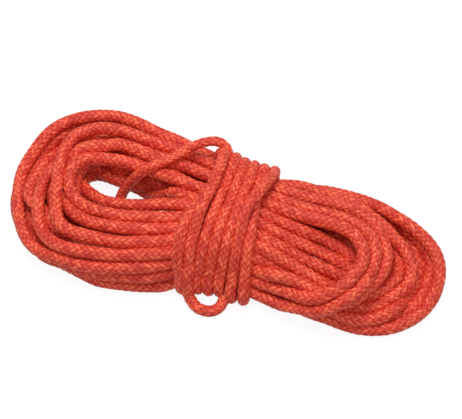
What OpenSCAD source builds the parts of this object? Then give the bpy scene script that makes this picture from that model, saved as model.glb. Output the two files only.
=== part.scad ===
// A hank of climbing rope lying on a flat surface.
//
// One rope is laid up in long loops, bound at the waist by a row of wraps, and
// finished with two short free stretches.  +X runs along the hank, +Y across it,
// +Z up.  The origin is on the surface below the middle of the whole hank.
// From end to end the rope goes: eye end, tail over the back of the hank, piled
// loops from the lowest layer up, lead over the top, wraps, loose bight, tucked end.

/* [Rope] */
// Diameter of the rope
rope_d = 10; // [9:0.1:10.5]
// Diameter of the core inside the braided sheath
core_d = 7.4; // [6.6:0.1:7.8]
// Diameter of one twisted strand of the core
core_strand_d = 2.3; // [1.8:0.1:2.4]
// Length at each end where sheath and core are separate
end_l = 10; // [8:1:12]
// Thickness of the melted cap on each end
tip_l = 3; // [2:0.5:4]

/* [Loops] */
// Layers of loops, piled up
layers = 4; // [2:2:4]
// Loops in a layer, a half more than a whole number
layer_loops = 4.5; // [3.5:1:4.5]
// Clear height between one layer and the next
layer_gap = 0.7; // [0.6:0.1:1.5]
// Clear space between the strands in the waist
waist_gap = 1.4; // [1.2:0.1:2]
// Clear space between the strands at the left bend
left_gap = 2.9; // [2:0.1:4]
// Clear space between the strands at the right bend
right_gap = 1.5; // [1.2:0.1:3]
// Radius of the innermost loop at the left bend, round the eye
left_eye_r = 22; // [20:1:28]
// Radius of the innermost loop at the right bend
right_eye_r = 13; // [12:1:20]
// Waist to the centre of the left bend
left_reach = 115; // [105:1:130]
// Waist to the centre of the right bend
right_reach = 119; // [105:1:130]
// How far the left bend lies off the hank's axis
left_offset = 8; // [0:1:10]
// How far the right bend lies off the hank's axis
right_offset = 3; // [0:1:10]

/* [Wraps] */
// Turns round the waist, a half more than a whole number
wrap_turns = 6.5; // [4.5:1:6.5]
// Clear space between neighbouring turns
wrap_gap = 0.5; // [0.5:0.1:2]
// How far the middle of the wraps lies off the middle of the waist
wraps_offset = 4; // [0:1:8]
// Clear space between the turns and the strands inside them
wrap_clear = 0.9; // [0.8:0.1:2]
// Clear space at each side of the end tucked between the turns
tuck_clear = 0.4; // [0.4:0.1:2]

/* [Hidden] */

rope_r = rope_d / 2;
// A strand that rests on the surface is flat there, a tenth of its diameter deep.
rest_z = rope_r - rope_d / 10;
layer_h = rope_d + layer_gap;

loop_rings = 24;
loop_sides = 6;
free_sides = 8;
end_fn = 48;

// Two runs of the innermost loop lie side by side in the waist.
waist_step = rope_d + waist_gap;
waist_inner = waist_step / 4;
left_step = rope_d + left_gap;
right_step = rope_d + right_gap;
total_loops = layers * layer_loops;

// The wraps go under the waist, which they lift off the surface.
wrap_step = rope_d + wrap_gap;
corner_a = 30;
wrap_off = (rope_d + wrap_clear) / cos(corner_a / 2);
waist_lift = wrap_off;
tuck_step = rope_d + 2 * tuck_clear;
wraps_l = (wrap_turns - 0.5) * wrap_step + tuck_step;
waist_left = wraps_l / 2 - wraps_offset + 0.8 * rope_d;
waist_right = wraps_l / 2 + wraps_offset + 0.8 * rope_d;

// ---- The piled loops -------------------------------------------------------

function unit(v) = v / norm(v);
function mix(a, b, t) = a + (b - a) * t;
function limit(v) = min(1, max(0, v));

// Steps outward from the innermost loop after t turns: in, out, in, out.
function spiral(t) =
    let (layer = min(layers - 1, floor(t / layer_loops)), u = t - layer * layer_loops)
    layer % 2 == 0 ? layer_loops - u : u;

// Height gained after t turns: a layer along the run where the spiral reverses.
run_turns = 6 / loop_rings;
function climbed(t, k = 1) =
    k >= layers ? 0
    : layer_h * limit((t - k * layer_loops) / run_turns + 0.5) + climbed(t, k + 1);

// A loop's rings: 0 is the middle of the far run, 3 to 9 go round the left bend,
// 12 is the middle of the near run and 15 to 21 go round the right bend.
function bend_point(cx, cy, r, a) = [cx + r * cos(a), cy + r * sin(a)];
function side_of(i) = i < 6 || i > 18 ? 1 : -1;

// Halfway from the waist to a bend a run has spread a little under half.
flare = 0.45;
function flared(a, b) = [(a.x + b.x) / 2, mix(a.y, b.y, flare)];

function waist_point(x, side, s) = [x, side * (waist_inner + waist_step * s)];
function left_point(i, s) =
    bend_point(-left_reach, left_offset, left_eye_r + left_step * s, 90 + 30 * (i - 3));
function right_point(i, s) =
    bend_point(right_reach, right_offset, right_eye_r + right_step * s, 30 * (i - 15) - 90);

function plan_point(i, s) =
    let (side = side_of(i))
    i == 0 || i == 12 ? waist_point(0, side, s)
    : i == 1 || i == 11 ? waist_point(-waist_left, side, s)
    : i == 13 || i == 23 ? waist_point(waist_right, side, s)
    : i == 2 ? flared(waist_point(-waist_left, side, s), left_point(3, s))
    : i == 10 ? flared(waist_point(-waist_left, side, s), left_point(9, s))
    : i == 14 ? flared(waist_point(waist_right, side, s), right_point(15, s))
    : i == 22 ? flared(waist_point(waist_right, side, s), right_point(21, s))
    : i < 12 ? left_point(i, s)
    : right_point(i, s);

function lifted(i) =
    let (j = i % 12)
    j <= 1 || j == 11 ? waist_lift : j == 2 || j == 10 ? waist_lift / 2 : 0;

function loop_point(n) =
    let (i = n % loop_rings, t = n / loop_rings, p = plan_point(i, spiral(t)))
    [p.x, p.y, rest_z + lifted(i) + climbed(t)];

// The loops leave a ring or two at each end to the stretches that go on from them.
first_ring = 2;
last_ring = total_loops * loop_rings - 2;
loop_path = [for (n = [first_ring:last_ring]) loop_point(n)];

// ---- The wraps -------------------------------------------------------------

far_strand = waist_inner + waist_step * layer_loops;
near_strand = -(waist_inner + waist_step * (layer_loops - 0.5));
low_strand = rest_z + waist_lift;
high_strand = low_strand + (layers - 1) * layer_h;
wrap_mid = (far_strand + near_strand) / 2;

// Corners of the bundle that a turn goes round, and the way out at each.
corners = [[near_strand, high_strand, 90], [near_strand, low_strand, 180],
           [far_strand, low_strand, 270], [far_strand, high_strand, 360]];

// One turn from the middle of the top, down the near side, under and up the far side.
function corner_ring(c, k) =
    let (a = c[2] + corner_a * k)
    [c[0] + wrap_off * cos(a), c[1] + wrap_off * sin(a)];
turn_profile = [
    [wrap_mid, high_strand + wrap_off],
    mix([wrap_mid, high_strand + wrap_off], corner_ring(corners[0], 0), 0.5),
    for (k = [0:3]) corner_ring(corners[0], k),
    mix(corner_ring(corners[0], 3), corner_ring(corners[1], 0), 0.5),
    for (k = [0:3]) corner_ring(corners[1], k),
    for (f = [0.25, 0.5, 0.75]) mix(corner_ring(corners[1], 3), corner_ring(corners[2], 0), f),
    for (k = [0:3]) corner_ring(corners[2], k),
    mix(corner_ring(corners[2], 3), corner_ring(corners[3], 0), 0.5),
    for (k = [0:3]) corner_ring(corners[3], k),
    mix(corner_ring(corners[3], 3), [wrap_mid, high_strand + wrap_off], 0.5)];
turn_rings = len(turn_profile);

// The tucked end passes between the second and the third turn on the near side.
tuck_turn = 1.5;
function wrap_x(t) =
    wraps_l / 2 + wraps_offset - wrap_step * (t - 0.25) - tuck_step * limit((t - tuck_turn) * 2);

function wrap_point(n) =
    let (p = turn_profile[(n + turn_rings) % turn_rings])
    [wrap_x(n / turn_rings), p.x, p.y];

near_side_ring = 6;
last_wrap_ring = floor(wrap_turns) * turn_rings + near_side_ring;
// Both ends run straight, square to the stretch that goes on from them.
wrap_path = [for (n = [-1:last_wrap_ring + 1]) wrap_point(n)];
wrap_first = wrap_path[0];
wrap_first_dir = unit(wrap_path[0] - wrap_path[1]);
wrap_last = wrap_path[len(wrap_path) - 1];
wrap_last_dir = unit(wrap_last - wrap_path[len(wrap_path) - 2]);

// ---- The free stretches ----------------------------------------------------

// Length over which a stretch goes straight on from its neighbour.
straight = 0.8 * rope_d;

// Lead from the top layer's last run to the first wrap, leaning over the top.
lead_points = [[68, 58, 46.5], [60, 58, 50.5], [54, 54.5, 56], [50.5, 46, 59.5], [49, 37, 60]];
lead_start = loop_path[len(loop_path) - 1];
lead_dir = unit(lead_start - loop_path[len(loop_path) - 2]);
lead_path = [
    lead_start,
    lead_start + straight * lead_dir,
    each lead_points,
    wrap_first + straight * wrap_first_dir,
    wrap_first];

// Tail from the lowest layer, up the far side, over the back and down into the eye.
tail_points = [
    [-61, 67, 13], [-52, 67, 17], [-45, 67, 24], [-41, 66.5, 34], [-40, 66, 45], [-41, 64.5, 55],
    [-44, 61, 63], [-49, 56, 67], [-56, 51, 66], [-63, 46, 62], [-70, 41, 57.5], [-77, 36, 54.5],
    [-83, 30, 53], [-89, 23, 51], [-93, 16, 45], [-95, 13, 36], [-96.5, 10, 26], [-97, 6.5, 17],
    [-98.5, 3, 10]];
tail_start = loop_path[0];
tail_dir = unit(tail_start - loop_path[1]);
eye_end = [-108, 0.5, 5.5];
eye_dir = [-1, 0, 0];
tail_path = [
    tail_start,
    tail_start + straight * tail_dir,
    each tail_points,
    eye_end - straight / 2 * eye_dir,
    eye_end];

// Slack bight from the last wrap, out over the surface and back between two turns.
bight_points = [[-33.5, -60, 9], [-31.5, -66, 6], [-26, -72, 5.2], [-17, -77, 5.2], [-7, -79.5, 5.2],
                [3, -80, 5.3], [11, -79, 7], [16.5, -77.5, 9.8], [19.3, -75, 12.8]];
tuck_x = (wrap_x(1.25) + wrap_x(2.25)) / 2;
tuck_mouth = 0.3;
tucked_end = [tuck_x, near_strand - rope_r - tuck_mouth - end_l - tip_l, low_strand];
tucked_dir = [0, 1, 0];
bight_path = [
    wrap_last,
    wrap_last + straight / 2 * wrap_last_dir,
    each bight_points,
    tucked_end - straight / 2 * tucked_dir,
    tucked_end];

// ---- Tubes -----------------------------------------------------------------

function way(path, n) =
    n == 0 ? unit(path[1] - path[0])
    : n == len(path) - 1 ? unit(path[n] - path[n - 1])
    : unit(unit(path[n + 1] - path[n]) + unit(path[n] - path[n - 1]));

// Side direction of each ring, square to a fixed axis.
function fixed_sides(path, axis) =
    [for (n = [0:len(path) - 1]) unit(cross(axis, way(path, n)))];

// Side direction carried from ring to ring without twisting.
function carried_sides(path, first) = [
    for (n = 0, s = unit(first - way(path, 0) * (first * way(path, 0)));
         n < len(path);
         n = n + 1,
         t = n < len(path) ? way(path, n) : [1, 0, 0],
         s = unit(s - t * (s * t))) s];

// A closed tube along a path, cut flat where it would reach below the surface.
module tube(path, side_dirs, sides, turn, radius = rope_r) {
    rings = len(path);
    points = [
        for (n = [0:rings - 1])
            let (t = way(path, n), u = side_dirs[n], v = cross(t, u))
            for (k = [0:sides - 1])
                let (a = turn + 360 * k / sides,
                     p = path[n] + radius * (cos(a) * u + sin(a) * v))
                [p.x, p.y, max(0, p.z)]];
    walls = [
        for (n = [0:rings - 2], k = [0:sides - 1])
            let (a = n * sides + k, b = n * sides + (k + 1) % sides)
            each [[a, b, b + sides], [a, b + sides, a + sides]]];
    caps = [
        for (k = [1:sides - 2])
            each [[0, k + 1, k], [(rings - 1) * sides, (rings - 1) * sides + k,
                  (rings - 1) * sides + k + 1]]];
    polyhedron(points, [for (f = concat(walls, caps)) [f[2], f[1], f[0]]], convexity = 12);
}

// Least distance from a point to the stretch between two others.
function to_stretch(p, a, b) =
    let (d = b - a, t = limit(((p - a) * d) / (d * d)))
    norm(p - a - t * d);

// Least gap of a winding to itself, from each ring to every stretch half a loop on.
function least_gap(path, apart) = min([
    for (i = [0:len(path) - 1 - apart], j = [i + apart:len(path) - 1])
        if (abs(path[i].z - path[j].z) < 2 * rope_d && norm(path[i] - path[j]) < 6 * rope_d)
            min(to_stretch(path[i], path[j - 1], path[j]),
                to_stretch(path[j], path[i], path[i + 1]))]) - rope_d;

function path_length(path) =
    let (steps = [for (n = [1:len(path) - 1]) norm(path[n] - path[n - 1])])
    steps * [for (n = [1:len(path) - 1]) 1];

// ---- The origin under the middle of the hank -------------------------------

all_points = concat(loop_path, wrap_path, lead_path, tail_path, bight_path);
mid_x = (min([for (p = all_points) p.x]) + max([for (p = all_points) p.x])) / 2;
mid_y = (min([for (p = all_points) p.y]) + max([for (p = all_points) p.y])) / 2;
module placed() {
    translate([-mid_x, -mid_y, 0])
        children();
}

rope_colour = [0.84, 0.25, 0.18];
core_colour = [0.93, 0.91, 0.86];
cap_colour = [0.62, 0.15, 0.11];

module hank_loops() {
    color(rope_colour)
        placed()
            tube(loop_path, fixed_sides(loop_path, [0, 0, 1]), loop_sides, 0);
}

module waist_wraps() {
    color(rope_colour)
        placed()
            tube(wrap_path, fixed_sides(wrap_path, [1, 0, 0]), loop_sides, 30);
}

module lead_over_top() {
    color(rope_colour)
        placed()
            tube(lead_path, carried_sides(lead_path, [0, 1, 0]), free_sides, 0);
}

module tail_over_back() {
    color(rope_colour)
        placed()
            tube(tail_path, carried_sides(tail_path, [0, 1, 0]), free_sides, 0);
}

module loose_bight() {
    color(rope_colour)
        placed()
            tube(bight_path, carried_sides(bight_path, [1, 0, 0]), free_sides, 0);
}

// ---- The two cut ends ------------------------------------------------------

// Turns a piece built along +Z to lie along a level direction.
module laid(at, dir) {
    placed()
        translate(at)
            rotate([0, 0, atan2(dir.y, dir.x)])
                rotate([0, 90, 0])
                    children();
}

module sheath_end(at, dir) {
    color(rope_colour)
        laid(at, dir)
            difference() {
                cylinder(h = end_l, d = rope_d, $fn = end_fn);
                translate([0, 0, -1])
                    cylinder(h = end_l + 2, d = core_d, $fn = end_fn);
            }
}

// One strand in the middle and six round it, all inside the sheath.
module core_end(at, dir) {
    ring_r = (core_d - core_strand_d) / 2 - 0.02;
    color(core_colour)
        laid(at, dir) {
            cylinder(h = end_l, d = core_strand_d, $fn = end_fn);
            for (a = [0:60:300])
                rotate([0, 0, a])
                    translate([ring_r, 0, 0])
                        cylinder(h = end_l, d = core_strand_d, $fn = end_fn);
        }
}

module cap_end(at, dir) {
    edge = tip_l / 3;
    color(cap_colour)
        laid(at + end_l * dir, dir)
            rotate_extrude($fn = end_fn)
                polygon([[0, 0], [rope_r, 0], [rope_r, tip_l - edge], [rope_r - edge, tip_l], [0, tip_l]]);
}

module eye_end_sheath() {
    sheath_end(eye_end, eye_dir);
}

module eye_end_core() {
    core_end(eye_end, eye_dir);
}

module eye_end_cap() {
    cap_end(eye_end, eye_dir);
}

module tucked_end_sheath() {
    sheath_end(tucked_end, tucked_dir);
}

module tucked_end_core() {
    core_end(tucked_end, tucked_dir);
}

module tucked_end_cap() {
    cap_end(tucked_end, tucked_dir);
}

echo("Least gap of the loops to themselves, mm", least_gap(loop_path, loop_rings / 2 - 2));
echo("Least gap of the wraps to themselves, mm", least_gap(wrap_path, turn_rings / 2));
echo("Rope length, m", (path_length(loop_path) + path_length(wrap_path) + path_length(lead_path)
    + path_length(tail_path) + path_length(bight_path) + 2 * (end_l + tip_l)) / 1000);

hank_loops();
waist_wraps();
lead_over_top();
tail_over_back();
loose_bight();
eye_end_sheath();
eye_end_core();
eye_end_cap();
tucked_end_sheath();
tucked_end_core();
tucked_end_cap();
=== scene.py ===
"""Dresses the rope hank: one braided rope laid in loops, bound with its own wraps."""
from itertools import permutations
import bpy
import numpy as np
from mathutils import Matrix


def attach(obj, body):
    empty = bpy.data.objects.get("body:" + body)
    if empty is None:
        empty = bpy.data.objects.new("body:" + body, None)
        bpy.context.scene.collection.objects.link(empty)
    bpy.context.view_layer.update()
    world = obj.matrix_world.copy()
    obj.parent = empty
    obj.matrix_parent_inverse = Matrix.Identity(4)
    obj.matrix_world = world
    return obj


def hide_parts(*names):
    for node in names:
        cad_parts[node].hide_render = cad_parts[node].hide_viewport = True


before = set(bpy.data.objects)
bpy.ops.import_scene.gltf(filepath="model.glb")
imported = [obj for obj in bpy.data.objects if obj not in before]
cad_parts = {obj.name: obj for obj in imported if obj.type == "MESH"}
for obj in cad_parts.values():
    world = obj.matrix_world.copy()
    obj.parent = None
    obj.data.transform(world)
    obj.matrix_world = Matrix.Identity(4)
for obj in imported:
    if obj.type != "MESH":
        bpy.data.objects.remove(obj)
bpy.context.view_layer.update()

# Lengths are millimetres in the hank's own axes, those of part.scad before it is centred.
# metres() takes them to the shared frame.
MID = np.array([-5.475, 3.21875, 0.0])   # the shared frame's origin
ROPE_R = 5.0
ON_FLOOR = 4.7                           # least height of the centreline: the rope is pressed flat
LEFT_X, LEFT_Y = -115.0, 8.0             # middle of the left turns
RUN_LEFT, RUN_RIGHT = -41, 30            # x of the runs' guides on either side of the wraps
BEND_LEFT, BEND_RIGHT = -78, 68          # x of the guides between a run and its hidden turn
MIRROR_Y = 17                            # the near and far runs mirror each other at this y
RUNS = 18

# ---- camera, shared by the guides and the real camera ------------------------
FRAME_W, FRAME_H = 462, 419              # pixels of the photograph
EL, AZ = np.radians(57.0), np.radians(16.5)
CR = np.array([np.cos(AZ), np.sin(AZ), 0.0])                                          # right
CF = np.array([-np.sin(AZ) * np.cos(EL), np.cos(AZ) * np.cos(EL), -np.sin(EL)])       # forward
CU = np.cross(CR, CF)                                                                 # up
AWAY = 1300.0                            # from the camera to the point it aims at
FPX = AWAY / 0.86                        # focal length in pixels: 0.86 mm to a pixel at the aim
AIM = np.array([-4.0, 15.0, 20.0])
AIM_PX = np.array([229.0, 222.0])        # where the photograph shows that point
EYE = AIM - CF * AWAY


def unproject(u, v, z):
    """The point at height z that the photograph shows at pixel u, v."""
    d = CF + CR * ((u - AIM_PX[0]) / FPX) - CU * ((v - AIM_PX[1]) / FPX)
    return EYE + d * ((z - EYE[2]) / d[2])


def metres(p):
    return (np.asarray(p) - MID) / 1000


# ---- guides -------------------------------------------------------------------
# The runs keep part.scad's numbers: k on the far side and k + 0.5 on the near side, layer by
# layer from the floor up. (y, z) of each run where it leaves the wraps:
LEFT_NEAR = {0.5: (-53.6, 12.5), 1.5: (-43, 14.5), 2.5: (-32, 15.5), 3.5: (-21, 16.5),
             4.5: (-7, 21), 5.5: (-17, 27.5), 6.5: (-28.5, 26), 7.5: (-39.5, 24.5), 8.5: (-51, 22),
             9.5: (-47.6, 32), 10.5: (-37, 34.5), 11.5: (-26, 36.5), 12.5: (-14, 38.5),
             13.5: (3, 50), 14.5: (-11, 49), 15.5: (-21.5, 47), 16.5: (-31.6, 44),
             17.5: (-41, 39.5)}
LEFT_FAR = {1: (48, 14), 2: (36, 15), 3: (24, 16), 4: (12, 17), 5: (6, 30), 6: (18, 27),
            7: (30, 26), 8: (42, 25), 9: (67, 35), 10: (54, 25), 11: (48, 36), 12: (32, 37),
            13: (12, 48), 14: (25, 49), 15: (42, 46.5), 16: (57, 42), 17: (62, 25), 18: (60, 18)}
RIGHT_NEAR = {13.5: (12.8, 50), 14.5: (2.3, 49), 15.5: (-7, 47), 16.5: (-16, 44.5),
              17.5: (-24, 40), 9.5: (-31, 32), 8.5: (-35.6, 22), 0.5: (-42.3, 12.5),
              10.5: (-21, 30), 11.5: (-10, 35), 12.5: (1, 37.5), 4.5: (7, 25), 5.5: (-3, 25),
              6.5: (-13, 24), 7.5: (-25, 19.5), 1.5: (-30, 11.5), 2.5: (-19, 13), 3.5: (-8, 14)}
RIGHT_FAR = {14: (23.5, 50), 15: (33.5, 48), 16: (43.5, 45), 17: (53, 38), 18: (62, 25),
             13: (20, 38.5), 12: (31, 36.5), 11: (41, 33), 10: (50, 27), 9: (58, 15), 5: (17, 27),
             6: (28, 25), 7: (38, 22), 8: (48, 16), 4: (3, 15), 3: (14, 15), 2: (26, 13.5),
             1: (37, 12)}
# The far run that each near run turns into at the right bend. The photograph shows it for these,
# the four hidden turns on the floor lie one place further in each time, and join_runs() adds
# the rest.
TURN = {0.5: 15, 1.5: 18, 7.5: 9, 8.5: 14, 9.5: 16, 16.5: 17, 17.5: 10}
TURN.update({k + 0.5: k - 1 for k in range(2, 6)})

# Pixel u, v of the photograph and height z of the strands that it shows.
# Left turns, by far run:
SEEN_LEFT = {
    0: [(38, 245, 5), (47, 253.5, 5), (59, 261, 5), (71, 267, 5.2), (85, 274.5, 6), (100, 281, 7),
        (110, 282.5, 8), (130, 285, 9.5), (150, 286, 11), (170, 284.5, 12.5)],
    9: [(178, 141, 36), (157.5, 132.6, 37), (138, 123, 37), (119.5, 117, 36), (100, 115.6, 36),
        (81.5, 117.7, 35), (62.5, 124, 33), (53.5, 129.5, 31), (44.2, 138, 29), (34.8, 150.5, 25),
        (25.5, 165, 21), (20.5, 178, 18), (18, 200, 15), (19.7, 218.5, 14), (26, 237, 15),
        (35, 248, 17), (43, 253, 19), (52, 256, 22), (66, 260, 25), (80, 264.5, 28),
        (100, 267, 31), (130, 267.5, 32), (150, 266, 32)],
    8: [(120, 124, 27), (100, 122, 26), (85, 125, 25), (70, 130, 25), (59, 137.5, 24),
        (51, 146, 23), (43, 156, 21), (35.5, 168.5, 17), (30, 183, 11), (27.5, 200, 7),
        (31, 218, 6), (39, 236, 6.5), (50, 250, 9), (65, 263, 13), (82, 270, 16), (100, 273.5, 19),
        (125, 276, 21), (150, 276.5, 22)],
    17: [(66, 160, 27), (55, 168, 29), (48, 174, 29), (43, 182, 28), (38.5, 200, 26.5),
         (38.5, 217, 26.5), (43, 232, 28.5), (55, 243.5, 33), (66, 247.5, 35.5), (80, 250.5, 37.5),
         (100, 253.5, 39), (120, 255, 39.5), (150, 254, 40)],
    16: [(178, 150, 41), (150, 141, 40), (120, 130, 39.5), (100, 128, 39), (80, 133, 39),
         (71, 140, 39), (65, 150, 38.5), (60, 165, 37.5), (57.5, 180, 36.5), (56, 200, 36),
         (56, 212, 36.5), (59, 222, 38), (66, 229, 39.5), (80, 233.5, 41), (100, 238.5, 42),
         (120, 242, 42.5), (150, 241.5, 43.5)],
    15: [(178, 164, 45), (150, 155.5, 42.5), (120, 144.5, 40), (100, 147, 37.5), (90, 148, 35),
         (80, 151, 31), (72, 158, 28), (66, 175, 26), (63.5, 192, 26), (69, 207, 31),
         (75, 214, 35), (85, 220, 39), (100, 224, 41.5), (120, 227.5, 43.5), (150, 229, 45.5)],
    14: [(178, 179, 48), (150, 170, 43), (120, 160.5, 39), (100, 158.5, 38), (90, 158, 38),
         (80, 161, 38), (73, 166, 37.5), (70, 175, 37), (70, 190, 37), (76, 199, 38),
         (85, 206, 39), (100, 211, 41.5), (120, 215.5, 44), (150, 217, 47)],
    13: [(178, 193, 43), (168, 194.5, 32), (158, 194.5, 20), (147, 192, 10), (134, 186.5, 6),
         (120, 181.5, 5.5), (110, 177.5, 5.5), (100, 175, 5.8), (90, 174, 7), (83.5, 175, 10),
         (80, 179, 15), (81, 184, 19.5), (85.5, 189.5, 24), (93, 195, 29), (102, 200.3, 33),
         (112, 203, 36), (130, 205, 40), (150, 205, 45)]}
# right turns, by near run
SEEN_RIGHT = {
    8.5: [(262, 283, 23), (280, 289, 27), (300, 296, 33), (315, 298, 38), (330, 293.5, 43),
          (343, 286, 46), (354, 275, 47), (360.5, 266, 47), (363.5, 256, 47), (361, 245, 46.5),
          (354.5, 235.5, 47), (344, 228, 47.5), (330, 223, 48), (316, 219.5, 48), (300, 215, 48),
          (280, 208.5, 49.5)],
    0.5: [(262, 296, 13), (280, 304, 17), (300, 308, 23), (312, 311, 28), (325, 309.5, 33),
          (338, 304, 37), (348, 298, 39), (357, 291, 40), (365, 282, 40), (371.5, 270, 40),
          (375.5, 256, 40), (373.5, 243, 40), (367, 232.5, 40.5), (359, 225.5, 41),
          (349, 220.5, 42), (335, 216, 43), (320, 212, 44.5), (300, 206.5, 46.5),
          (280, 200, 48.5)],
    9.5: [(262, 271, 33), (285, 277, 34), (300, 282.5, 33), (320, 293, 29), (337, 300, 28),
          (350, 301, 29), (360, 295, 30), (368, 287, 31), (377, 279, 31), (384, 268, 31),
          (386.5, 256, 31), (384.5, 244, 32), (379, 232, 33), (370, 221, 35), (360, 213.5, 36.5),
          (350, 209, 38), (330, 203, 40), (300, 196, 43), (282, 190.5, 45)],
    16.5: [(262, 247.5, 44), (280, 259, 41), (300, 270.5, 36), (316, 280, 31), (330, 291, 27),
           (342, 302, 19.5), (354, 308.5, 13.5), (370, 308, 12), (385, 302.5, 13),
           (397, 295.5, 14), (406, 287.5, 16), (410.5, 278, 18), (411.5, 268, 20),
           (408.5, 257, 22), (402.5, 247.5, 23), (393.5, 237, 24.5), (384.5, 227.5, 25.5),
           (372, 217, 27), (352, 203.5, 30), (320, 192.5, 34), (300, 186.5, 36)],
    17.5: [(262, 259, 39), (280, 270, 36), (300, 283, 27), (316, 294, 18), (332, 300, 15),
           (350, 301, 16), (366, 297.5, 17.5), (378, 293, 19), (389, 286, 20), (396, 278.5, 20),
           (399, 270, 18), (397, 261, 14), (392, 251, 12.5), (385, 241, 12.5), (375, 231, 13.5)],
    7.5: [(350, 314, 5), (370, 319, 5), (385, 319.5, 5), (400, 315, 5), (413, 306, 5.5),
          (423, 294, 6), (429, 281, 7.5), (431.5, 268, 9), (428, 254.5, 10.5), (420, 242.5, 12),
          (407.5, 230.5, 13.5), (391, 219, 15)],
    1.5: [(330, 316, 5), (350, 325, 5), (370, 328.5, 5), (390, 327.5, 5), (407, 321, 5),
          (420, 312, 5), (431, 300, 6), (437, 286, 8), (439.5, 269, 12), (436, 254, 17),
          (429, 243, 20), (419, 233, 22), (409, 225, 24), (398, 218, 25), (380, 207.5, 26),
          (360, 199.8, 26), (340, 194.5, 26)],
    13.5: [(262, 214, 50), (280, 221.5, 46), (300, 230, 41), (317, 236.5, 37), (330, 243, 33.5),
           (343, 250.5, 30), (354, 258, 27)],
    14.5: [(262, 225.5, 48.5), (280, 234.5, 45), (300, 243.5, 40), (317, 251, 35.5),
           (330, 257.5, 31.5), (342, 263.5, 28), (350, 268, 26)],
    15.5: [(262, 236.5, 46.5), (280, 247, 43), (300, 257.5, 38), (317, 265.5, 33), (332, 272, 28),
           (343, 277.5, 24)]}
# turns round the waist on the near side, in the rope's order
WRAPS = {
    'W5': [(264, 168.5, 49), (261.5, 173, 54.5), (258, 182, 57), (256, 193, 57.5),
           (254.5, 203, 57), (252, 222, 55), (249, 240, 50), (246.5, 262, 38), (243.5, 294.5, 20)],
    'D1': [(274, 174.5, 49), (270, 177.5, 56.5), (262, 188, 63), (254, 198, 66), (247, 208, 65),
           (242.5, 216, 62), (240, 227, 58), (238, 240, 54), (236, 250, 48), (234.5, 262, 40),
           (230.5, 295, 17)],
    'W4': [(254, 165.5, 50), (251.5, 175, 57.5), (248, 184, 60), (236, 215, 60), (228, 240, 53),
           (225, 250, 47), (221, 270, 33), (218.5, 286, 18)],
    'W3': [(244.5, 162, 51), (240.5, 176, 59), (235.5, 187, 60.5), (231.5, 200, 60.5),
           (225, 215, 60), (219, 231, 56), (213, 250, 47), (209.5, 266, 35), (206, 287, 16)],
    'W2': [(236, 157, 51), (232.5, 163, 56), (228, 176, 60), (223, 189, 60.5), (218, 200, 60.5),
           (210, 221, 58), (206.5, 234, 54), (202, 250, 46), (198.5, 266, 34), (195, 287, 15)],
    'W1': [(225.5, 152, 60), (221.5, 161.5, 66), (216.5, 176, 69), (210.5, 189, 70),
           (204, 201, 70), (200, 211, 69), (196.5, 222, 65), (193.5, 234, 60), (190, 249, 52),
           (188.5, 268, 38), (187.5, 284, 23)]}
# the tail's own turn, under W1 at the top and beside it lower down
TUCK_TURN = [(228.5, 157, 55), (223, 168, 56), (215, 183, 57.5), (206.5, 196, 59),
             (197, 207.5, 60), (188, 218, 59), (182, 231, 56), (178.5, 247, 50.5),
             (177.5, 260, 44), (181.5, 274, 32), (184, 286, 17)]
TAIL_SEEN = [(121, 196, 12), (123, 192, 17), (127, 186, 25), (133, 180, 34), (140, 173, 43),
             (150, 168, 47), (160, 163, 49.5), (175, 157, 52), (190, 147.8, 56), (200, 143.3, 59),
             (210.5, 141.3, 61), (219.5, 143, 61), (225.5, 149.5, 58)]
BIGHT_SEEN = [(189.5, 298, 6.5), (194.8, 305, 5.2), (203, 310, 5.2), (210, 311.3, 5.2),
              (217.5, 308.5, 5.5), (221.5, 304.5, 6)]

# hidden turns of the left bend: radius and height on the far side, then on the near side
TUCKED_LEFT = {0: (80, 5, 73, 6), 1: (70, 5, 48, 5), 2: (60, 5, 36.5, 5), 3: (50, 5, 24.5, 5),
               6: (50, 15.5, 25, 16), 7: (61, 15.5, 60, 9), 10: (77, 15, 50, 20),
               11: (56, 26, 38, 18), 12: (45, 26, 25, 27)}
# the two low turns of the left eye lie behind the one that shows and pass under it: points in
# plan, then by run the first and last height, and how much wider the far half lies
EYE_PLAN = [(-78, 37), (-100, 39), (-122, 41), (-139, 40.5), (-147, 36), (-152, 26), (-146, 16),
            (-138, 6), (-124, -2), (-107, -8.5), (-78, -13)]
EYE_LOW = {4: (15.5, 5, 0), 5: (26, 15.5, 5)}
# hidden turns of the right bend: reach of the turn, and its heights on the near and far side
TUCKED_RIGHT = {13.5: (15, 25, 16), 12.5: (14, 28, 31), 4.5: (17, 5.5, 5.5), 5.5: (28, 5.5, 5.5),
                14.5: (25, 25, 28), 11.5: (25.5, 15, 16), 6.5: (38.5, 5.5, 14), 15.5: (36, 24, 25),
                10.5: (37, 14.5, 12), 3.5: (51, 5.5, 5.5), 2.5: (62, 5.5, 5.5)}
TUCK_MIDDLE = (104, 8)
TUCK_MIDDLES = {12.5: (56, 9), 13.5: (106, 9), 15.5: (96, 8), 10.5: (98, 8)}
SHORT_TURN = 12.5                        # leaves the slit between the upper turns open
WIDE_TURN, DRAWN_IN = 36, 0.45           # reach past which a turn is drawn in on the near side
# hidden guides (x, y, z) between the wraps and what the photograph shows of a right turn
BEFORE_SEEN = {7.5: [(62, -29, 12), (85, -36, 6)], 1.5: [(62, -36.5, 5.5)]}
AFTER_SEEN = {7.5: [(78, 60, 13)], 1.5: [(64, 67.5, 22), (50, 66, 23)], 17.5: [(75, 55, 22)]}

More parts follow.
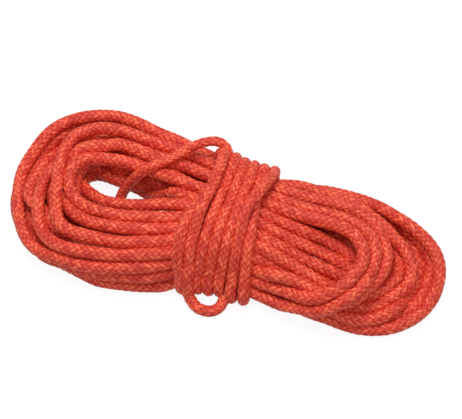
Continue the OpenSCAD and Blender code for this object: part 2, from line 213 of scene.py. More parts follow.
# hidden stretches (x, y, z), in the rope's order
TAIL_START = [(-117.5, 0.5, 5.5), (-112, 0.6, 5.5), (-106.5, 3, 5.6)]
INTO_FIRST = [(-30, 53, 4.8), (-38, 64.5, 5), (-52, 70.5, 6), (-66, 71.5, 8), (-77.95, 70.4, 9.64)]
FIRST_TURN = [(-92, 73, 6)]
LEAD = [(38, 64, 24), (29, 62, 25), (21, 61, 25.5), (15, 62, 28), (12, 64.5, 33), (12.5, 62.5, 41)]
BIGHT_END = [(11.6, -53, 8.6), (11.4, -48.5, 11.0)]
# a wrap's way round the near edge (y offset, z) and up the far side (y, z)
EDGE = [(-4.0, 14.8), (-3.0, 10.3), (0.2, 6.7), (5.2, 4.9), (13, 4.8)]
CLIMB = [(62, 6), (65.5, 14), (66, 26), (63.5, 38)]
COLUMN = {'D1': 20.5, 'W4': 4.0, 'W3': -4.5, 'W2': -12.5, 'W1': -21.0}    # x where each climbs
CROSSING_OUT = 3.0                       # D1 crosses W5, so it climbs this much further out
UNDER_Z, UNDER_AT = 4.8, (0.3, 0.5, 0.7, 0.85)     # height under the runs, shares of the way
FAR_EDGE = 66                            # y where the wraps come out on the far side
TUCK_TO = (-27, 50)                      # x, y where the tail's own turn comes out


def seen(points):
    """Guides on the photograph's strands: x, y, z and a weight of 1."""
    return [(*unproject(u, v, z), 1.0) for u, v, z in points]


def hidden(points):
    """Guides of a stretch that the photograph doesn't show, with a weight of 0."""
    return [(x, y, z, 0.0) for x, y, z in points]


def join_runs(near, far):
    """Pairs the runs left over, level with level, so that the whole hank is one rope."""
    best, low = None, 1e9
    for order in permutations(far):
        turn = {**TURN, **dict(zip(near, order))}
        k, count = turn[0.5], 1
        while k != RUNS and count < RUNS:
            k, count = turn[k + 0.5], count + 1
        cost = sum(abs(2 * MIRROR_Y - RIGHT_NEAR[n][0] - RIGHT_FAR[f][0])
                   + abs(RIGHT_NEAR[n][1] - RIGHT_FAR[f][1]) for n, f in zip(near, order))
        if (k, count) == (RUNS, RUNS) and cost < low - 1e-9:
            best, low = turn, cost
    return best


TURN = join_runs([n for n in sorted(RIGHT_NEAR) if n not in TURN],
                 [f for f in sorted(RIGHT_FAR) if f not in TURN.values()])


def left_arc(k, degrees):
    """Points of a hidden left turn, at angles from 90 on the far side to 270 on the near one."""
    r0, z0, r1, z1 = TUCKED_LEFT[k]
    out = []
    for a in degrees:
        w = (a - 90) / 180
        r = r0 + (r1 - r0) * w
        out.append((LEFT_X + r * np.cos(np.radians(a)), LEFT_Y + r * np.sin(np.radians(a)),
                    z0 + (z1 - z0) * w))
    return out


def left_turn(k):
    """From the wraps on the far side, round the left bend, to the wraps on the near side."""
    yn, zn = LEFT_NEAR[k + 0.5]
    last = hidden([(RUN_LEFT, yn, zn)])
    if k == 0:
        return hidden(FIRST_TURN + left_arc(k, range(138, 199, 20))) + seen(SEEN_LEFT[k]) + last
    yf, zf = LEFT_FAR[k]
    first = hidden([(RUN_LEFT, yf, zf)])
    if k in SEEN_LEFT:
        return first + seen(SEEN_LEFT[k]) + last
    if k in EYE_LOW:
        z0, z1, wider = EYE_LOW[k]
        n = len(EYE_PLAN) - 1
        return first + hidden([(x, y + (wider if y > 20 else 0), z0 + (z1 - z0) * i / n)
                               for i, (x, y) in enumerate(EYE_PLAN)]) + last
    arc = left_arc(k, range(90, 271, 20))
    into = [(BEND_LEFT, 0.45 * y + 0.55 * run_y, 0.5 * z + 0.5 * run_z)
            for (_, y, z), (run_y, run_z) in ((arc[0], (yf, zf)), (arc[-1], (yn, zn)))]
    return first + hidden(into[:1] + arc + into[1:]) + last


def right_turn(near):
    """From the wraps on the near side, round the right bend, to the wraps on the far side."""
    (yn, zn), (yf, zf) = RIGHT_NEAR[near], RIGHT_FAR[TURN[near]]
    first, last = [(RUN_RIGHT, yn, zn)], [(RUN_RIGHT, yf, zf)]
    before, after = BEFORE_SEEN.get(near, []), AFTER_SEEN.get(near, [])
    shown = seen(SEEN_RIGHT.get(near, []))
    if near in TUCKED_RIGHT:
        r, z0, z1 = TUCKED_RIGHT[near]
        cx, cy = TUCK_MIDDLES.get(near, TUCK_MIDDLE)
        if near == SHORT_TURN:
            first, last = [(40, yn, zn)], [(38, yf, zf)]
        else:
            if not shown:
                before = [(BEND_RIGHT, 0.5 * (yn + cy - r), 0.5 * (zn + z0))]
            last = [(BEND_RIGHT, 0.5 * (yf + cy + r), 0.5 * (zf + z1))] + last
        # the photograph shows how the top turns set out, so their hidden part starts later
        for a in range(-35 if near > 13 else -60, 91, 25):
            w = (a + 90) / 180
            q = r - max(0, r - WIDE_TURN) * DRAWN_IN * max(0, -np.sin(np.radians(a)))
            after = after + [(cx + q * np.cos(np.radians(a)), cy + q * np.sin(np.radians(a)),
                              z0 + (z1 - z0) * w)]
    if TURN[near] == RUNS:
        last = []                        # goes on into the lead
    return hidden(first + before) + shown + hidden(after + last)


def under(x0, y0, x1, y1):
    """Round the near edge and under the runs, from (x0, y0) to (x1, y1)."""
    out = [(x0, y0 + dy, z) for dy, z in EDGE]
    out += [(x0 + (x1 - x0) * w, y0 + (y1 - y0) * w, UNDER_Z) for w in UNDER_AT]
    return hidden(out)


def wrap_turn(name, following):
    """The near side as seen, then under the runs and up the far side to the next turn."""
    points = seen(WRAPS[name])
    x0, y0 = points[-1][:2]
    x1 = COLUMN[following]
    out = CROSSING_OUT if following == 'D1' else 0
    climb = [(x1, y + (out if z > CLIMB[0][1] else 0), z) for y, z in CLIMB]
    return points + under(x0, y0, x1, FAR_EDGE) + hidden(climb)


def chain():
    """The whole rope's guides, the stretch that each belongs to, and the stretches' names."""
    turn = seen(TUCK_TURN)
    turn += under(*turn[-1][:2], *TUCK_TO) + hidden(INTO_FIRST)
    parts = [('tail', hidden(TAIL_START) + seen(TAIL_SEEN)), ('S1', turn)]
    k = 0
    while k != RUNS:
        parts += [('L%g' % k, left_turn(k)), ('R%g' % (k + 0.5), right_turn(k + 0.5))]
        k = TURN[k + 0.5]
    parts.append(('lead', hidden(LEAD)))
    order = list(WRAPS)
    parts += [(name, wrap_turn(name, following)) for name, following in zip(order, order[1:])]
    parts += [('W1', seen(WRAPS['W1'])), ('bight', seen(BIGHT_SEEN) + hidden(BIGHT_END))]
    flat = [p for _, points in parts for p in points]
    label = [i for i, (_, points) in enumerate(parts) for _ in points]
    return np.array(flat, float), np.array(label), [name for name, _ in parts]


# ---- the rope's centreline -----------------------------------------------------
STEP = 5.0                               # from one point of the relaxed line to the next
ROUNDS, LAST_ROUNDS = (200), 120
# what happens in each round:
SPREAD = 10.5                            # least distance of two strands
PUSH, MOST_PUSH, MOST_MOVE = 0.22, 3, 1.2     # share of an overlap mended, and its limits
STIFF, EVEN = 0.35, 0.25                 # share of the unevenness taken out: bends, spacing
LEAST_BEND, LAST_BEND = 11.0, 12.0       # radius that bends are opened to, and in the last rounds
OPEN = 0.3                               # share of a tight bend that is opened
SAG = 0.04                               # how far the rope sinks
HOLD, DRIFT, HOLD_DEPTH = 0.15, 0.012, 0.01   # pull to the guides: seen, hidden, seen in depth
# the stretches that the photograph shows slimmer than the loops, and how close they lie
SLIM = {'tail': 0.86, 'bight': 0.88, 'D1': 0.91, 'W5': 0.91, 'W4': 0.91, 'W3': 0.91, 'W2': 0.91,
        'S1': 0.92, 'W1': 0.91, 'lead': 0.93}
SLIM_SPREAD = 0.91
SLIM_ARCH, ARCH_L = 0.74, 75             # the tail's arch is slimmer still


def smooth_line(guides, label, step):
    """Centripetal Catmull-Rom through the guides, as evenly spaced points.

    Returns the points, their weight and their stretch."""
    p = np.vstack([2 * guides[0] - guides[1], guides, 2 * guides[-1] - guides[-2]])[:, :3]
    line, weight, stretch = [], [], []
    for i in range(1, len(p) - 2):
        p0, p1, p2, p3 = p[i - 1:i + 3]
        t1 = max(np.linalg.norm(p1 - p0), 1e-3) ** 0.5
        t2 = t1 + max(np.linalg.norm(p2 - p1), 1e-3) ** 0.5
        t3 = t2 + max(np.linalg.norm(p3 - p2), 1e-3) ** 0.5
        n = max(2, int(np.ceil(np.linalg.norm(p2 - p1))))
        u = np.arange(n) / n
        t = (t1 + (t2 - t1) * u)[:, None]
        a1 = (t1 - t) / t1 * p0 + t / t1 * p1
        a2 = (t2 - t) / (t2 - t1) * p1 + (t - t1) / (t2 - t1) * p2
        a3 = (t3 - t) / (t3 - t2) * p2 + (t - t2) / (t3 - t2) * p3
        b1 = (t2 - t) / t2 * a1 + t / t2 * a2
        b2 = (t3 - t) / (t3 - t1) * a2 + (t - t1) / (t3 - t1) * a3
        line.append((t2 - t) / (t2 - t1) * b1 + (t - t1) / (t2 - t1) * b2)
        weight.append(guides[i - 1, 3] * (1 - u) + guides[i, 3] * u)
        stretch.append(np.full(n, label[i - 1]))
    line, weight, stretch = np.vstack(line), np.concatenate(weight), np.concatenate(stretch)
    s = np.r_[0, np.cumsum(np.linalg.norm(np.diff(line, axis=0), axis=1))]
    t = np.linspace(0, s[-1], int(round(s[-1] / step)) + 1)
    even = np.stack([np.interp(t, s, line[:, c]) for c in range(3)], 1)
    at = np.clip(np.searchsorted(s, t), 0, len(s) - 1)
    return even, np.interp(t, s, weight), stretch[at]


def close_pairs(P, reach, block=512):
    """Points nearer than reach, apart from neighbours on the rope and its last few points."""
    n = len(P)
    Q = P.astype(np.float32)
    square = (Q * Q).sum(1)
    first, second = [], []
    for a in range(0, n, block):
        d2 = square[a:a + block, None] + square[None, :] - 2 * Q[a:a + block] @ Q.T
        i, j = np.nonzero(d2 < reach ** 2)
        i += a
        keep = (j - i > 4) & (j < n - 5)
        first.append(i[keep])
        second.append(j[keep])
    return np.concatenate(first), np.concatenate(second)


def push_apart(P, first, second, slim):
    """Moves the strands that press into each other."""
    d = P[second] - P[first]
    r = np.linalg.norm(d, axis=1)
    least = SPREAD * 0.5 * (slim[first] + slim[second])
    k = r < least
    i, j, d, r, least = first[k], second[k], d[k], r[k], least[k]
    push = d / np.maximum(r, 0.5)[:, None] * (PUSH * np.minimum(least - r, MOST_PUSH))[:, None]
    move = np.zeros_like(P)
    for c in range(3):
        move[:, c] += np.bincount(j, push[:, c], len(P)) - np.bincount(i, push[:, c], len(P))
    size = np.linalg.norm(move, axis=1)
    move *= np.minimum(1, MOST_MOVE / np.maximum(size, 1e-6))[:, None]
    P += move


def stiffen(P):
    """Smooths the line towards a cubic through each point's neighbours."""
    smooth = P.copy()
    smooth[2:-2] = (-P[:-4] + 4 * P[1:-3] + 4 * P[3:-1] - P[4:]) / 6
    P += STIFF * (smooth - P)


def unbend(P, least):
    """Opens the bends of less than this radius."""
    e = np.diff(P, axis=0)
    l = np.linalg.norm(e, axis=1)
    b = e[1:] - e[:-1]
    m = np.linalg.norm(b, axis=1)
    b *= (OPEN * np.maximum(1 - l[1:] * l[:-1] / least / np.maximum(m, 1e-6), 0))[:, None]
    P[1:-1] += b
    P[:-2] -= 0.5 * b
    P[2:] -= 0.5 * b


def space_evenly(P, spacing):
    e = np.diff(P, axis=0)
    l = np.linalg.norm(e, axis=1)
    c = e * ((l - spacing) / np.maximum(l, 1e-6) * EVEN)[:, None]
    P[:-1] += c
    P[1:] -= c


def follow(P, start, ray, w):
    """Pulls each point to the camera's ray through its guide, but not along the rope."""
    g = np.zeros_like(P)
    g[1:-1] = P[2:] - P[:-2]
    g /= np.maximum(np.linalg.norm(g, axis=1), 1e-6)[:, None]
    q = start - P
    to_ray = q - (q * ray).sum(1)[:, None] * ray
    to_ray -= (to_ray * g).sum(1)[:, None] * g
    to_start = q - (q * g).sum(1)[:, None] * g
    P += HOLD * w * to_ray + DRIFT * to_start * (1 - w) + HOLD_DEPTH * w * to_start


def rest(P, start):
    """Keeps the rope on the floor, and its two ends in place."""
    P[:, 2] = np.maximum(P[:, 2], ON_FLOOR)
    P[:2] = start[:2]
    P[-2:] = start[-2:]


def relax(start, weight, slim):
    """Lays the rope: strands push apart, sink, and keep to what the photograph shows."""
    P = start.copy()
    ray = start - EYE
    ray /= np.linalg.norm(ray, axis=1)[:, None]
    spacing = np.linalg.norm(np.diff(P, axis=0), axis=1).mean()
    w = np.clip(weight, 0, 1)[:, None]
    for it in range(ROUNDS):
        if it % 6 == 0:
            first, second = close_pairs(P, SPREAD + 4.0)
        push_apart(P, first, second, slim)
        stiffen(P)
        unbend(P, LEAST_BEND)
        space_evenly(P, spacing)
        follow(P, start, ray, w)
        P[:, 2] -= SAG
        rest(P, start)
    for it in range(LAST_ROUNDS):
        unbend(P, LAST_BEND)
        rest(P, start)
    return P


def refine(line, k):
    """Catmull-Rom through the points, k steps to each span."""
    p = np.vstack([2 * line[0] - line[1], line, 2 * line[-1] - line[-2]])
    out = []
    for i in range(k):
        t = i / k
        a, b, c, d = p[:-3], p[1:-2], p[2:-1], p[3:]
        out.append(0.5 * ((2 * b) + (-a + c) * t + (2 * a - 5 * b + 4 * c - d) * t * t
                          + (-a + 3 * b - 3 * c + d) * t ** 3))
    q = np.stack(out, 1).reshape(-1, 3)
    return np.vstack([q, line[-1:]])


def frames(t):
    """A sideways direction that turns no more than the rope does, ring by ring."""
    u = np.empty_like(t)
    v = np.cross(t[0], [0, 0, 1.0])
    v /= np.linalg.norm(v)
    u[0] = v
    for i in range(1, len(t)):
        v = v - t[i] * (v @ t[i])
        v /= np.sqrt(v @ v)
        u[i] = v
    return u


GUIDES, GUIDE_LABEL, NAMES = chain()
POINTS, WEIGHT, POINT_LABEL = smooth_line(GUIDES, GUIDE_LABEL, STEP)
POINTS = relax(POINTS, WEIGHT,
               np.array([SLIM_SPREAD if NAMES[i] in SLIM else 1.0 for i in POINT_LABEL]))

# rings of the sheath, evenly spaced along the refined line
RING, REFINE = 0.775, 8
LINE = refine(POINTS, REFINE)
ALONG = np.r_[0, np.cumsum(np.linalg.norm(np.diff(LINE, axis=0), axis=1))]
COUNT = int(ALONG[-1] / RING)
AT = np.linspace(0, ALONG[-1], COUNT + 1)
POINT = (np.interp(AT, ALONG, np.arange(len(ALONG))) / REFINE).astype(int)
LABEL = POINT_LABEL[np.clip(POINT, 0, len(POINT_LABEL) - 1)]
LINE = np.stack([np.interp(AT, ALONG, LINE[:, c]) for c in range(3)], 1)
T = np.gradient(LINE, axis=0)
T /= np.linalg.norm(T, axis=1)[:, None]
U = frames(T)
V = np.cross(T, U)


def starts(name):
    """The first ring of a stretch."""
    return int(np.argmax(LABEL == NAMES.index(name)))


# the rope's thickness at each ring
BLEND = 40                               # rings to either side over which it is blended
FULL = np.array([SLIM.get(NAMES[i], 1.0) for i in LABEL])
FULL[starts('S1') - int(ARCH_L / RING):starts('S1')] = SLIM_ARCH
FULL = np.convolve(np.r_[[FULL[0]] * BLEND, FULL, [FULL[-1]] * BLEND],
                   np.ones(2 * BLEND + 1) / (2 * BLEND + 1), 'valid')

# ---- the braid -------------------------------------------------------------------
COLS, PER_COL = 10, 4                    # columns of floats round the rope, vertices to a column
PITCH = 5.7                              # one float of a column to the next, along the rope
CREASE_R, RELIEF = 4.92, 0.76            # radius in the creases, and height of a float
PRESSED = 0.05                           # least height of the sheath above the floor
TH = np.arange(COLS * PER_COL) / (COLS * PER_COL) * 2 * np.pi
SLANT = np.arctan(2 * np.pi * ROPE_R / COLS / PITCH)
CA, SA = np.cos(SLANT), np.sin(SLANT)
HALF_W = PITCH * SA / 2 * 1.04           # half a float's width and length
HALF_L = np.pi * ROPE_R / COLS / SA * 1.12


def braid(s, th):
    """Height of the braid at places s along the rope and angles th, with the float's marks.

    The height is 0 in the creases and up to 1 on a float. The marks are the place across and
    along the float and a number from 0 to 1 that differs from float to float."""
    s = s[:, None] + 0 * th[None, :]
    # the columns sway slowly round the rope, and the floats are laid a little unevenly
    th = th[None, :] + 0.9 * np.sin(s / 83.0) + 0.5 * np.sin(s / 37.0 + 1.3) + 40 * np.pi
    s = s + 0.35 * np.sin(s / 11.0 + 2.0 * np.sin(th))
    best, across, along, tint = (np.zeros_like(s) for _ in range(4))
    wide = 2 * np.pi / COLS
    col = np.floor(th / wide)
    for dc in (-1, 0, 1):
        c = col + dc
        x = ROPE_R * (th - (c + 0.5) * wide)
        odd = np.mod(c, 2)
        side = np.where(odd > 0.5, -1.0, 1.0)
        y = s / PITCH - 0.5 * odd
        nearest = np.round(y)
        for dj in (-1, 0, 1):
            j = nearest + dj
            yy = (y - j) * PITCH
            rnd = np.sin(j * 12.9898 + np.mod(c, COLS) * 78.233) * 43758.5453
            rnd = rnd - np.floor(rnd)
            a = x * side * SA + yy * CA + 0.7 * (rnd - 0.5)
            b = x * CA - side * yy * SA + 0.5 * (np.mod(rnd * 7.31, 1) - 0.5)
            h = (np.clip(1 - (a / HALF_L) ** 2, 0, 1) ** 0.5
                 * np.clip(1 - (b / HALF_W) ** 2, 0, 1) ** 0.5)
            h = h * (0.80 + 0.20 * rnd)
            k = h > best
            best = np.where(k, h, best)
            across = np.where(k, b / HALF_W, across)
            along = np.where(k, a, along)
            tint = np.where(k, rnd, tint)
    return best, across, along, tint


def circle(angles, u, v):
    """Directions round a line whose sideways directions are u and v."""
    return (np.cos(angles)[None, :, None] * u[:, None, :]
            + np.sin(angles)[None, :, None] * v[:, None, :])


def link(name, me):
    ob = bpy.data.objects.new(name, me)
    bpy.context.scene.collection.objects.link(ob)
    return ob


def tube(name, i0, i1, cap0=False, cap1=False):
    """The braided rope between two rings, as one mesh."""
    n, m = i1 - i0 + 1, len(TH)
    h, across, along, tint = braid(AT[i0:i1 + 1], TH)
    r = (CREASE_R + RELIEF * h) * FULL[i0:i1 + 1, None]
    c = LINE[i0:i1 + 1]
    co = c[:, None, :] + r[:, :, None] * circle(TH, U[i0:i1 + 1], V[i0:i1 + 1])
    co[:, :, 2] = np.maximum(co[:, :, 2], PRESSED)
    co = metres(co.reshape(-1, 3))
    nv = len(co)
    middles = [metres(c[i]) for i, cap in ((0, cap0), (-1, cap1)) if cap]
    if middles:
        co = np.vstack([co, middles])
    i = np.arange(n - 1)[:, None] * m
    j = np.arange(m)[None, :]
    k = (j + 1) % m
    quads = np.stack([i + j, i + k, i + m + k, i + m + j], -1).reshape(-1, 4)
    tris = []
    if cap0:
        tris += [(nv, (a + 1) % m, a) for a in range(m)]
    if cap1:
        e, base = len(co) - 1, (n - 1) * m
        tris += [(e, base + a, base + (a + 1) % m) for a in range(m)]
    me = bpy.data.meshes.new(name)
    me.vertices.add(len(co))
    me.vertices.foreach_set("co", co.astype(np.float32).ravel())
    me.loops.add(len(quads) * 4 + len(tris) * 3)
    corners = np.concatenate([quads.ravel(), np.array(tris, int).ravel()])
    me.loops.foreach_set("vertex_index", corners.astype(np.int32))
    me.polygons.add(len(quads) + len(tris))
    first = np.concatenate([np.arange(len(quads)) * 4, len(quads) * 4 + np.arange(len(tris)) * 3])
    me.polygons.foreach_set("loop_start", first.astype(np.int32))
    me.polygons.foreach_set("use_smooth", np.ones(len(first), dtype=bool))
    me.update(calc_edges=True)
    run = np.repeat(AT[i0:i1 + 1] / 1000, m)
    # lift, the braid's height, also sets the material's painted crease shade and painted float-top
    # highlight
    for mark, value in (("lift", h), ("across", across), ("along", along), ("tint", tint),
                        ("run", run)):
        at = me.attributes.new(mark, 'FLOAT', 'POINT')
        value = np.r_[value.ravel(), np.zeros(len(middles))]
        at.data.foreach_set("value", value.astype(np.float32))
    me.validate()
    return link(name, me)


def lathe(name, line, radii, per=24):
    """A closed tube of changing radius along a short line."""
    line = np.asarray(line, float)
    t = np.gradient(line, axis=0)
    t /= np.linalg.norm(t, axis=1)[:, None]
    u = np.cross(t, (0.3, 0.2, 1.0))
    u /= np.linalg.norm(u, axis=1)[:, None]
    v = np.cross(t, u)
    a = np.arange(per) / per * 2 * np.pi
    rr = np.asarray(radii, float)[:, None] * (1 + 0.02 * np.sin(3 * a + 1)[None, :])
    co = line[:, None, :] + rr[:, :, None] * circle(a, u, v)
    n = len(line)
    co = np.vstack([co.reshape(-1, 3), line[:1], line[-1:]])
    faces = [(i * per + j, i * per + (j + 1) % per, (i + 1) * per + (j + 1) % per,
              (i + 1) * per + j) for i in range(n - 1) for j in range(per)]
    faces += [(n * per, (j + 1) % per, j) for j in range(per)]
    faces += [(n * per + 1, (n - 1) * per + j, (n - 1) * per + (j + 1) % per) for j in range(per)]
    me = bpy.data.meshes.new(name)
    me.from_pydata(metres(co).tolist(), [], faces)
    me.polygons.foreach_set("use_smooth", [True] * len(me.polygons))
    ob = link(name, me)
    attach(ob, "root")
    return ob


def bare_end(end, at, way):
    """The core's strands and the melted cap past the last ring of the sheath."""
    way = way / np.linalg.norm(way)
    core = lathe(end + "_strands", [at - way * 5, at - way * 2, at, at + way],
                 [3.4, 3.5, 3.5, 2.6])
    past = np.array([-1.2, -0.6, 0.0, 0.8, 1.6, 2.3, 2.8])
    cap = lathe(end + "_melt", at + way * past[:, None], [4.9, 5.15, 5.2, 5.0, 4.3, 3.0, 1.2])
    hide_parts(end + "_core")
    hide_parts(end + "_cap")
    return core, cap


# ---- pieces ------------------------------------------------------------------------
TUCKED_END = bare_end("tucked_end", LINE[-1], T[-1])
EYE_END = bare_end("eye_end", LINE[0], -T[0])

# The rope is cut into pieces at or under the wraps, and two pieces meet in the same ring. Some
# cuts lie this many rings before the stretch that follows:
HIDE, HIDE_LEAD, HIDE_BIGHT = int(36 / RING), int(60 / RING), int(30 / RING)
# first ring and name of each piece
CUTS = [(0, 'tail'), (starts('S1'), 'wraps_3')]
for i, turn in enumerate([n for n in NAMES if n[0] == 'L'][::2]):
    CUTS.append((starts(turn) - (HIDE if i else 0), 'loops_%d' % (i + 1)))
CUTS += [(starts('lead') - HIDE_LEAD, 'lead'), (starts('W5'), 'wraps_1'),
         (starts('W3'), 'wraps_2'), (starts('bight') - HIDE_BIGHT, 'bight'), (COUNT, 'end')]
STANDS = {'tail': 'tail_over_back', 'loops': 'hank_loops', 'lead': 'lead_over_top',
          'wraps': 'waist_wraps', 'bight': 'loose_bight'}
ENDS = {'tail': EYE_END, 'bight': TUCKED_END}
PATH_STEP = 4                            # rings from one point of a cord's path to the next


def piece(name, i0, i1):
    """One piece of the rope, from ring i0 to ring i1."""
    ob = tube('rope_' + name, i0, i1, cap0=(name == 'tail'), cap1=(name == 'bight'))
    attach(ob, "root")
    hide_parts(STANDS[name.split('_')[0]])
    if name == 'tail':
        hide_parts("eye_end_sheath")
    if name == 'bight':
        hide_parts("tucked_end_sheath")
    path = metres(LINE[i0:i1 + 1:PATH_STEP])
    if (i1 - i0) % PATH_STEP:
        path = np.vstack([path, metres(LINE[i1:i1 + 1])])
    if name == 'tail':
        path = path[::-1]
    return ob


ROPE = [piece(name, i0, i1) for (i0, name), (i1, _) in zip(CUTS, CUTS[1:])]


# ---- materials -----------------------------------------------------------------------
def material(name):
    m = bpy.data.materials.new(name)
    m.use_nodes = True
    nt = m.node_tree
    return m, nt, nt.nodes["Principled BSDF"]


def node(nt, kind, **values):
    """A new node, with values for its inputs."""
    n = nt.nodes.new(kind)
    for key, value in values.items():
        n.inputs[key].default_value = value
    return n


def ramp(nt, fac, stops):
    """The colour at fac, blended between stops of place and colour."""
    n = nt.nodes.new("ShaderNodeValToRGB")
    elements = n.color_ramp.elements
    while len(elements) < len(stops):
        elements.new(0.5)
    for element, (place, colour) in zip(elements, stops):
        element.position = place
        element.color = (*colour, 1)
    nt.links.new(fac, n.inputs["Fac"])
    return n.outputs["Color"]


def bump(nt, shader, height, distance, strength=1.0):
    n = node(nt, "ShaderNodeBump", Distance=distance, Strength=strength)
    nt.links.new(height, n.inputs["Height"])
    nt.links.new(n.outputs["Normal"], shader.inputs["Normal"])


def calc(nt, operation, a, b):
    """The result of a sum, product or maximum of sockets and numbers."""
    n = nt.nodes.new("ShaderNodeMath")
    n.operation = operation
    for k, v in enumerate((a, b)):
        if isinstance(v, (int, float)):
            n.inputs[k].default_value = v
        else:
            nt.links.new(v, n.inputs[k])
    return n.outputs[0]


def rope_material():
    """Red braid with painted shade in the creases and a painted highlight on each float's top,
    with the filaments of each float.
    """
    m, nt, b = material("braided_sheath")
    join = nt.links.new
    mark = {}
    for name in ("lift", "tint", "across", "along", "run"):
        a = nt.nodes.new("ShaderNodeAttribute")
        a.attribute_name = name
        mark[name] = a.outputs["Fac"]
    tint = mark["tint"]
    # painted shade: darkest red where the braid is lowest, in the creases; painted highlight:
    # peach on the float tops
    shade_and_highlight = ramp(nt, mark["lift"], [(0.0, (0.30, 0.012, 0.006)), (0.35, (0.66, 0.042, 0.020)),
                                   (0.70, (0.84, 0.085, 0.042)), (0.92, (0.93, 0.175, 0.110))])
    # floats differ a little, and the dye drifts slowly along the rope
    drift = node(nt, "ShaderNodeTexNoise", Scale=9.0, Detail=2.0)
    drift.noise_dimensions = '1D'
    join(mark["run"], drift.inputs["W"])
    value = calc(nt, 'ADD', calc(nt, 'MULTIPLY', tint, 0.30),
                 calc(nt, 'MULTIPLY', drift.outputs["Fac"], 0.20))
    dye = nt.nodes.new("ShaderNodeHueSaturation")
    join(shade_and_highlight, dye.inputs["Color"])
    join(calc(nt, 'ADD', value, 0.80), dye.inputs["Value"])
    join(calc(nt, 'ADD', calc(nt, 'MULTIPLY', tint, 0.008), 0.496), dye.inputs["Hue"])
    join(dye.outputs["Color"], b.inputs["Base Color"])
    # filaments along each float
    place = nt.nodes.new("ShaderNodeCombineXYZ")
    for k, (socket, stretch) in enumerate(((mark["across"], 6.0), (mark["along"], 0.35),
                                           (tint, 40.0))):
        join(calc(nt, 'MULTIPLY', socket, stretch), place.inputs[k])
    filaments = node(nt, "ShaderNodeTexNoise", Scale=1.6, Detail=3.0)
    join(place.outputs[0], filaments.inputs["Vector"])
    bump(nt, b, filaments.outputs["Fac"], 0.0004, 0.35)
    rough = ramp(nt, filaments.outputs["Fac"], [(0.3, (0.42,) * 3), (0.7, (0.62,) * 3)])
    join(rough, b.inputs["Roughness"])
    b.inputs["Sheen Weight"].default_value = 0.12
    b.inputs["Sheen Tint"].default_value = (1.0, 0.35, 0.22, 1)
    b.inputs["Sheen Roughness"].default_value = 0.4
    b.inputs["Specular IOR Level"].default_value = 0.28
    return m


def plain_material(name, texture, stops):
    """A colour that varies with a texture over the object; returns the texture's value too."""
    m, nt, b = material(name)
    place = nt.nodes.new("ShaderNodeTexCoord")
    kind, values = texture
    t = node(nt, kind, **values)
    nt.links.new(place.outputs["Object"], t.inputs["Vector"])
    nt.links.new(ramp(nt, t.outputs["Fac"], stops), b.inputs["Base Color"])
    return m, nt, b, t.outputs["Fac"]


def core_material():
    """Undyed strands, laid side by side."""
    m, nt, b, height = plain_material(
        "core_strands", ("ShaderNodeTexWave", {"Scale": 900.0, "Distortion": 2.0}),
        [(0.0, (0.62, 0.58, 0.50)), (1.0, (0.88, 0.85, 0.78))])
    bump(nt, b, height, 0.0003)
    b.inputs["Roughness"].default_value = 0.75
    return m


def cap_material():
    """Melted sheath: dark, smooth and uneven."""
    m, nt, b, height = plain_material(
        "melted_cap", ("ShaderNodeTexNoise", {"Scale": 420.0, "Detail": 3.0}),
        [(0.3, (0.20, 0.018, 0.010)), (0.7, (0.42, 0.035, 0.018))])
    bump(nt, b, height, 0.0004, 0.6)
    b.inputs["Roughness"].default_value = 0.3
    return m


ROPE_MAT, CORE_MAT, CAP_MAT = rope_material(), core_material(), cap_material()
for ob in ROPE:
    ob.data.materials.append(ROPE_MAT)
for core, cap in ENDS.values():
    core.data.materials.append(CORE_MAT)
    cap.data.materials.append(CAP_MAT)


# ---- camera, light and floor -----------------------------------------------------------
scene = bpy.context.scene
scene.view_settings.view_transform = 'Standard'


def pose(x, y, z, at):
    """A matrix whose columns are three directions and a place."""
    return Matrix(((x[0], y[0], z[0], at[0]), (x[1], y[1], z[1], at[1]),
                   (x[2], y[2], z[2], at[2]), (0, 0, 0, 1)))


def photo_camera():
    cam = bpy.data.cameras.new("camera")
    cam.sensor_width = 36.0
    cam.lens = FPX / FRAME_W * 36.0
    cam.shift_x = (FRAME_W / 2 - AIM_PX[0]) / FRAME_W
    cam.shift_y = (AIM_PX[1] - FRAME_H / 2) / FRAME_W
    cam.clip_start, cam.clip_end = 0.05, 20.0
    ob = link("camera", cam)
    ob.matrix_world = pose(CR, CU, -CF, metres(EYE))
    bpy.context.scene.camera = ob


def mix(nt, fac, first, second, output):
    """Shows the first shader where fac is 0 and the second where it is 1."""
    n = nt.nodes.new("ShaderNodeMixShader")
    nt.links.new(fac, n.inputs["Fac"])
    nt.links.new(first.outputs[0], n.inputs[1])
    nt.links.new(second.outputs[0], n.inputs[2])
    nt.links.new(n.outputs[0], nt.nodes[output].inputs["Surface"])


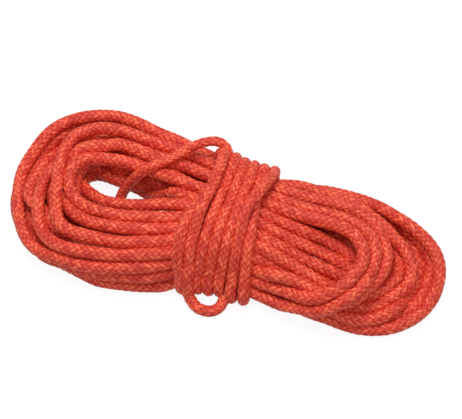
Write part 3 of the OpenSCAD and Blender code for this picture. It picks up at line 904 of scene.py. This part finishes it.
def pale_floor():
    """Mid grey to the rope's light, and near white to the eye, with the rope's shadow on it."""
    me = bpy.data.meshes.new("floor")
    me.from_pydata([(-6, -6, 0), (6, -6, 0), (6, 6, 0), (-6, 6, 0)], [], [(0, 1, 2, 3)])
    link("floor", me)
    m, nt, b = material("pale_floor")
    b.inputs["Roughness"].default_value = 0.9
    n = node(nt, "ShaderNodeTexNoise", Scale=3.0)
    nt.links.new(ramp(nt, n.outputs["Fac"], [(0.0, (0.52,) * 3), (1.0, (0.54,) * 3)]),
                 b.inputs["Base Color"])
    glow = node(nt, "ShaderNodeEmission", Color=(1, 1, 1, 1), Strength=1.26)
    path = nt.nodes.new("ShaderNodeLightPath")
    eye = calc(nt, 'MAXIMUM', path.outputs["Is Camera Ray"], path.outputs["Is Glossy Ray"])
    mix(nt, calc(nt, 'MULTIPLY', eye, 0.72), b, glow, "Material Output")
    me.materials.append(m)


def studio_world():
    """White to the eye, and softer as a light."""
    world = bpy.data.worlds.new("studio")
    scene.world = world
    world.use_nodes = True
    nt = world.node_tree
    light = nt.nodes["Background"]
    light.inputs["Color"].default_value = (1, 1, 1, 1)
    light.inputs["Strength"].default_value = 0.46
    backdrop = node(nt, "ShaderNodeBackground", Color=(1, 1, 1, 1), Strength=1.0)
    path = nt.nodes.new("ShaderNodeLightPath")
    eye = calc(nt, 'MAXIMUM', path.outputs["Is Camera Ray"], path.outputs["Is Transmission Ray"])
    mix(nt, eye, light, backdrop, "World Output")


def lamp(name, where, aim, size, power):
    """A square area lamp, in metres and watts."""
    light = bpy.data.lights.new(name, 'AREA')
    light.shape = 'SQUARE'
    light.size = size
    light.energy = power
    d = np.array(where, float) - np.array(aim, float)
    z = d / np.linalg.norm(d)
    x = np.cross((0, 1, 0.001), z)
    x /= np.linalg.norm(x)
    link(name, light).matrix_world = pose(x, np.cross(z, x), z, where)


photo_camera()
pale_floor()
studio_world()
lamp("key", where=(-0.2, 0.2, 1.3), aim=(0, 0, 0.02), size=0.6, power=8.6)
lamp("fill", where=(0.5, -0.5, 1.2), aim=(0, 0, 0.02), size=0.8, power=1.6)
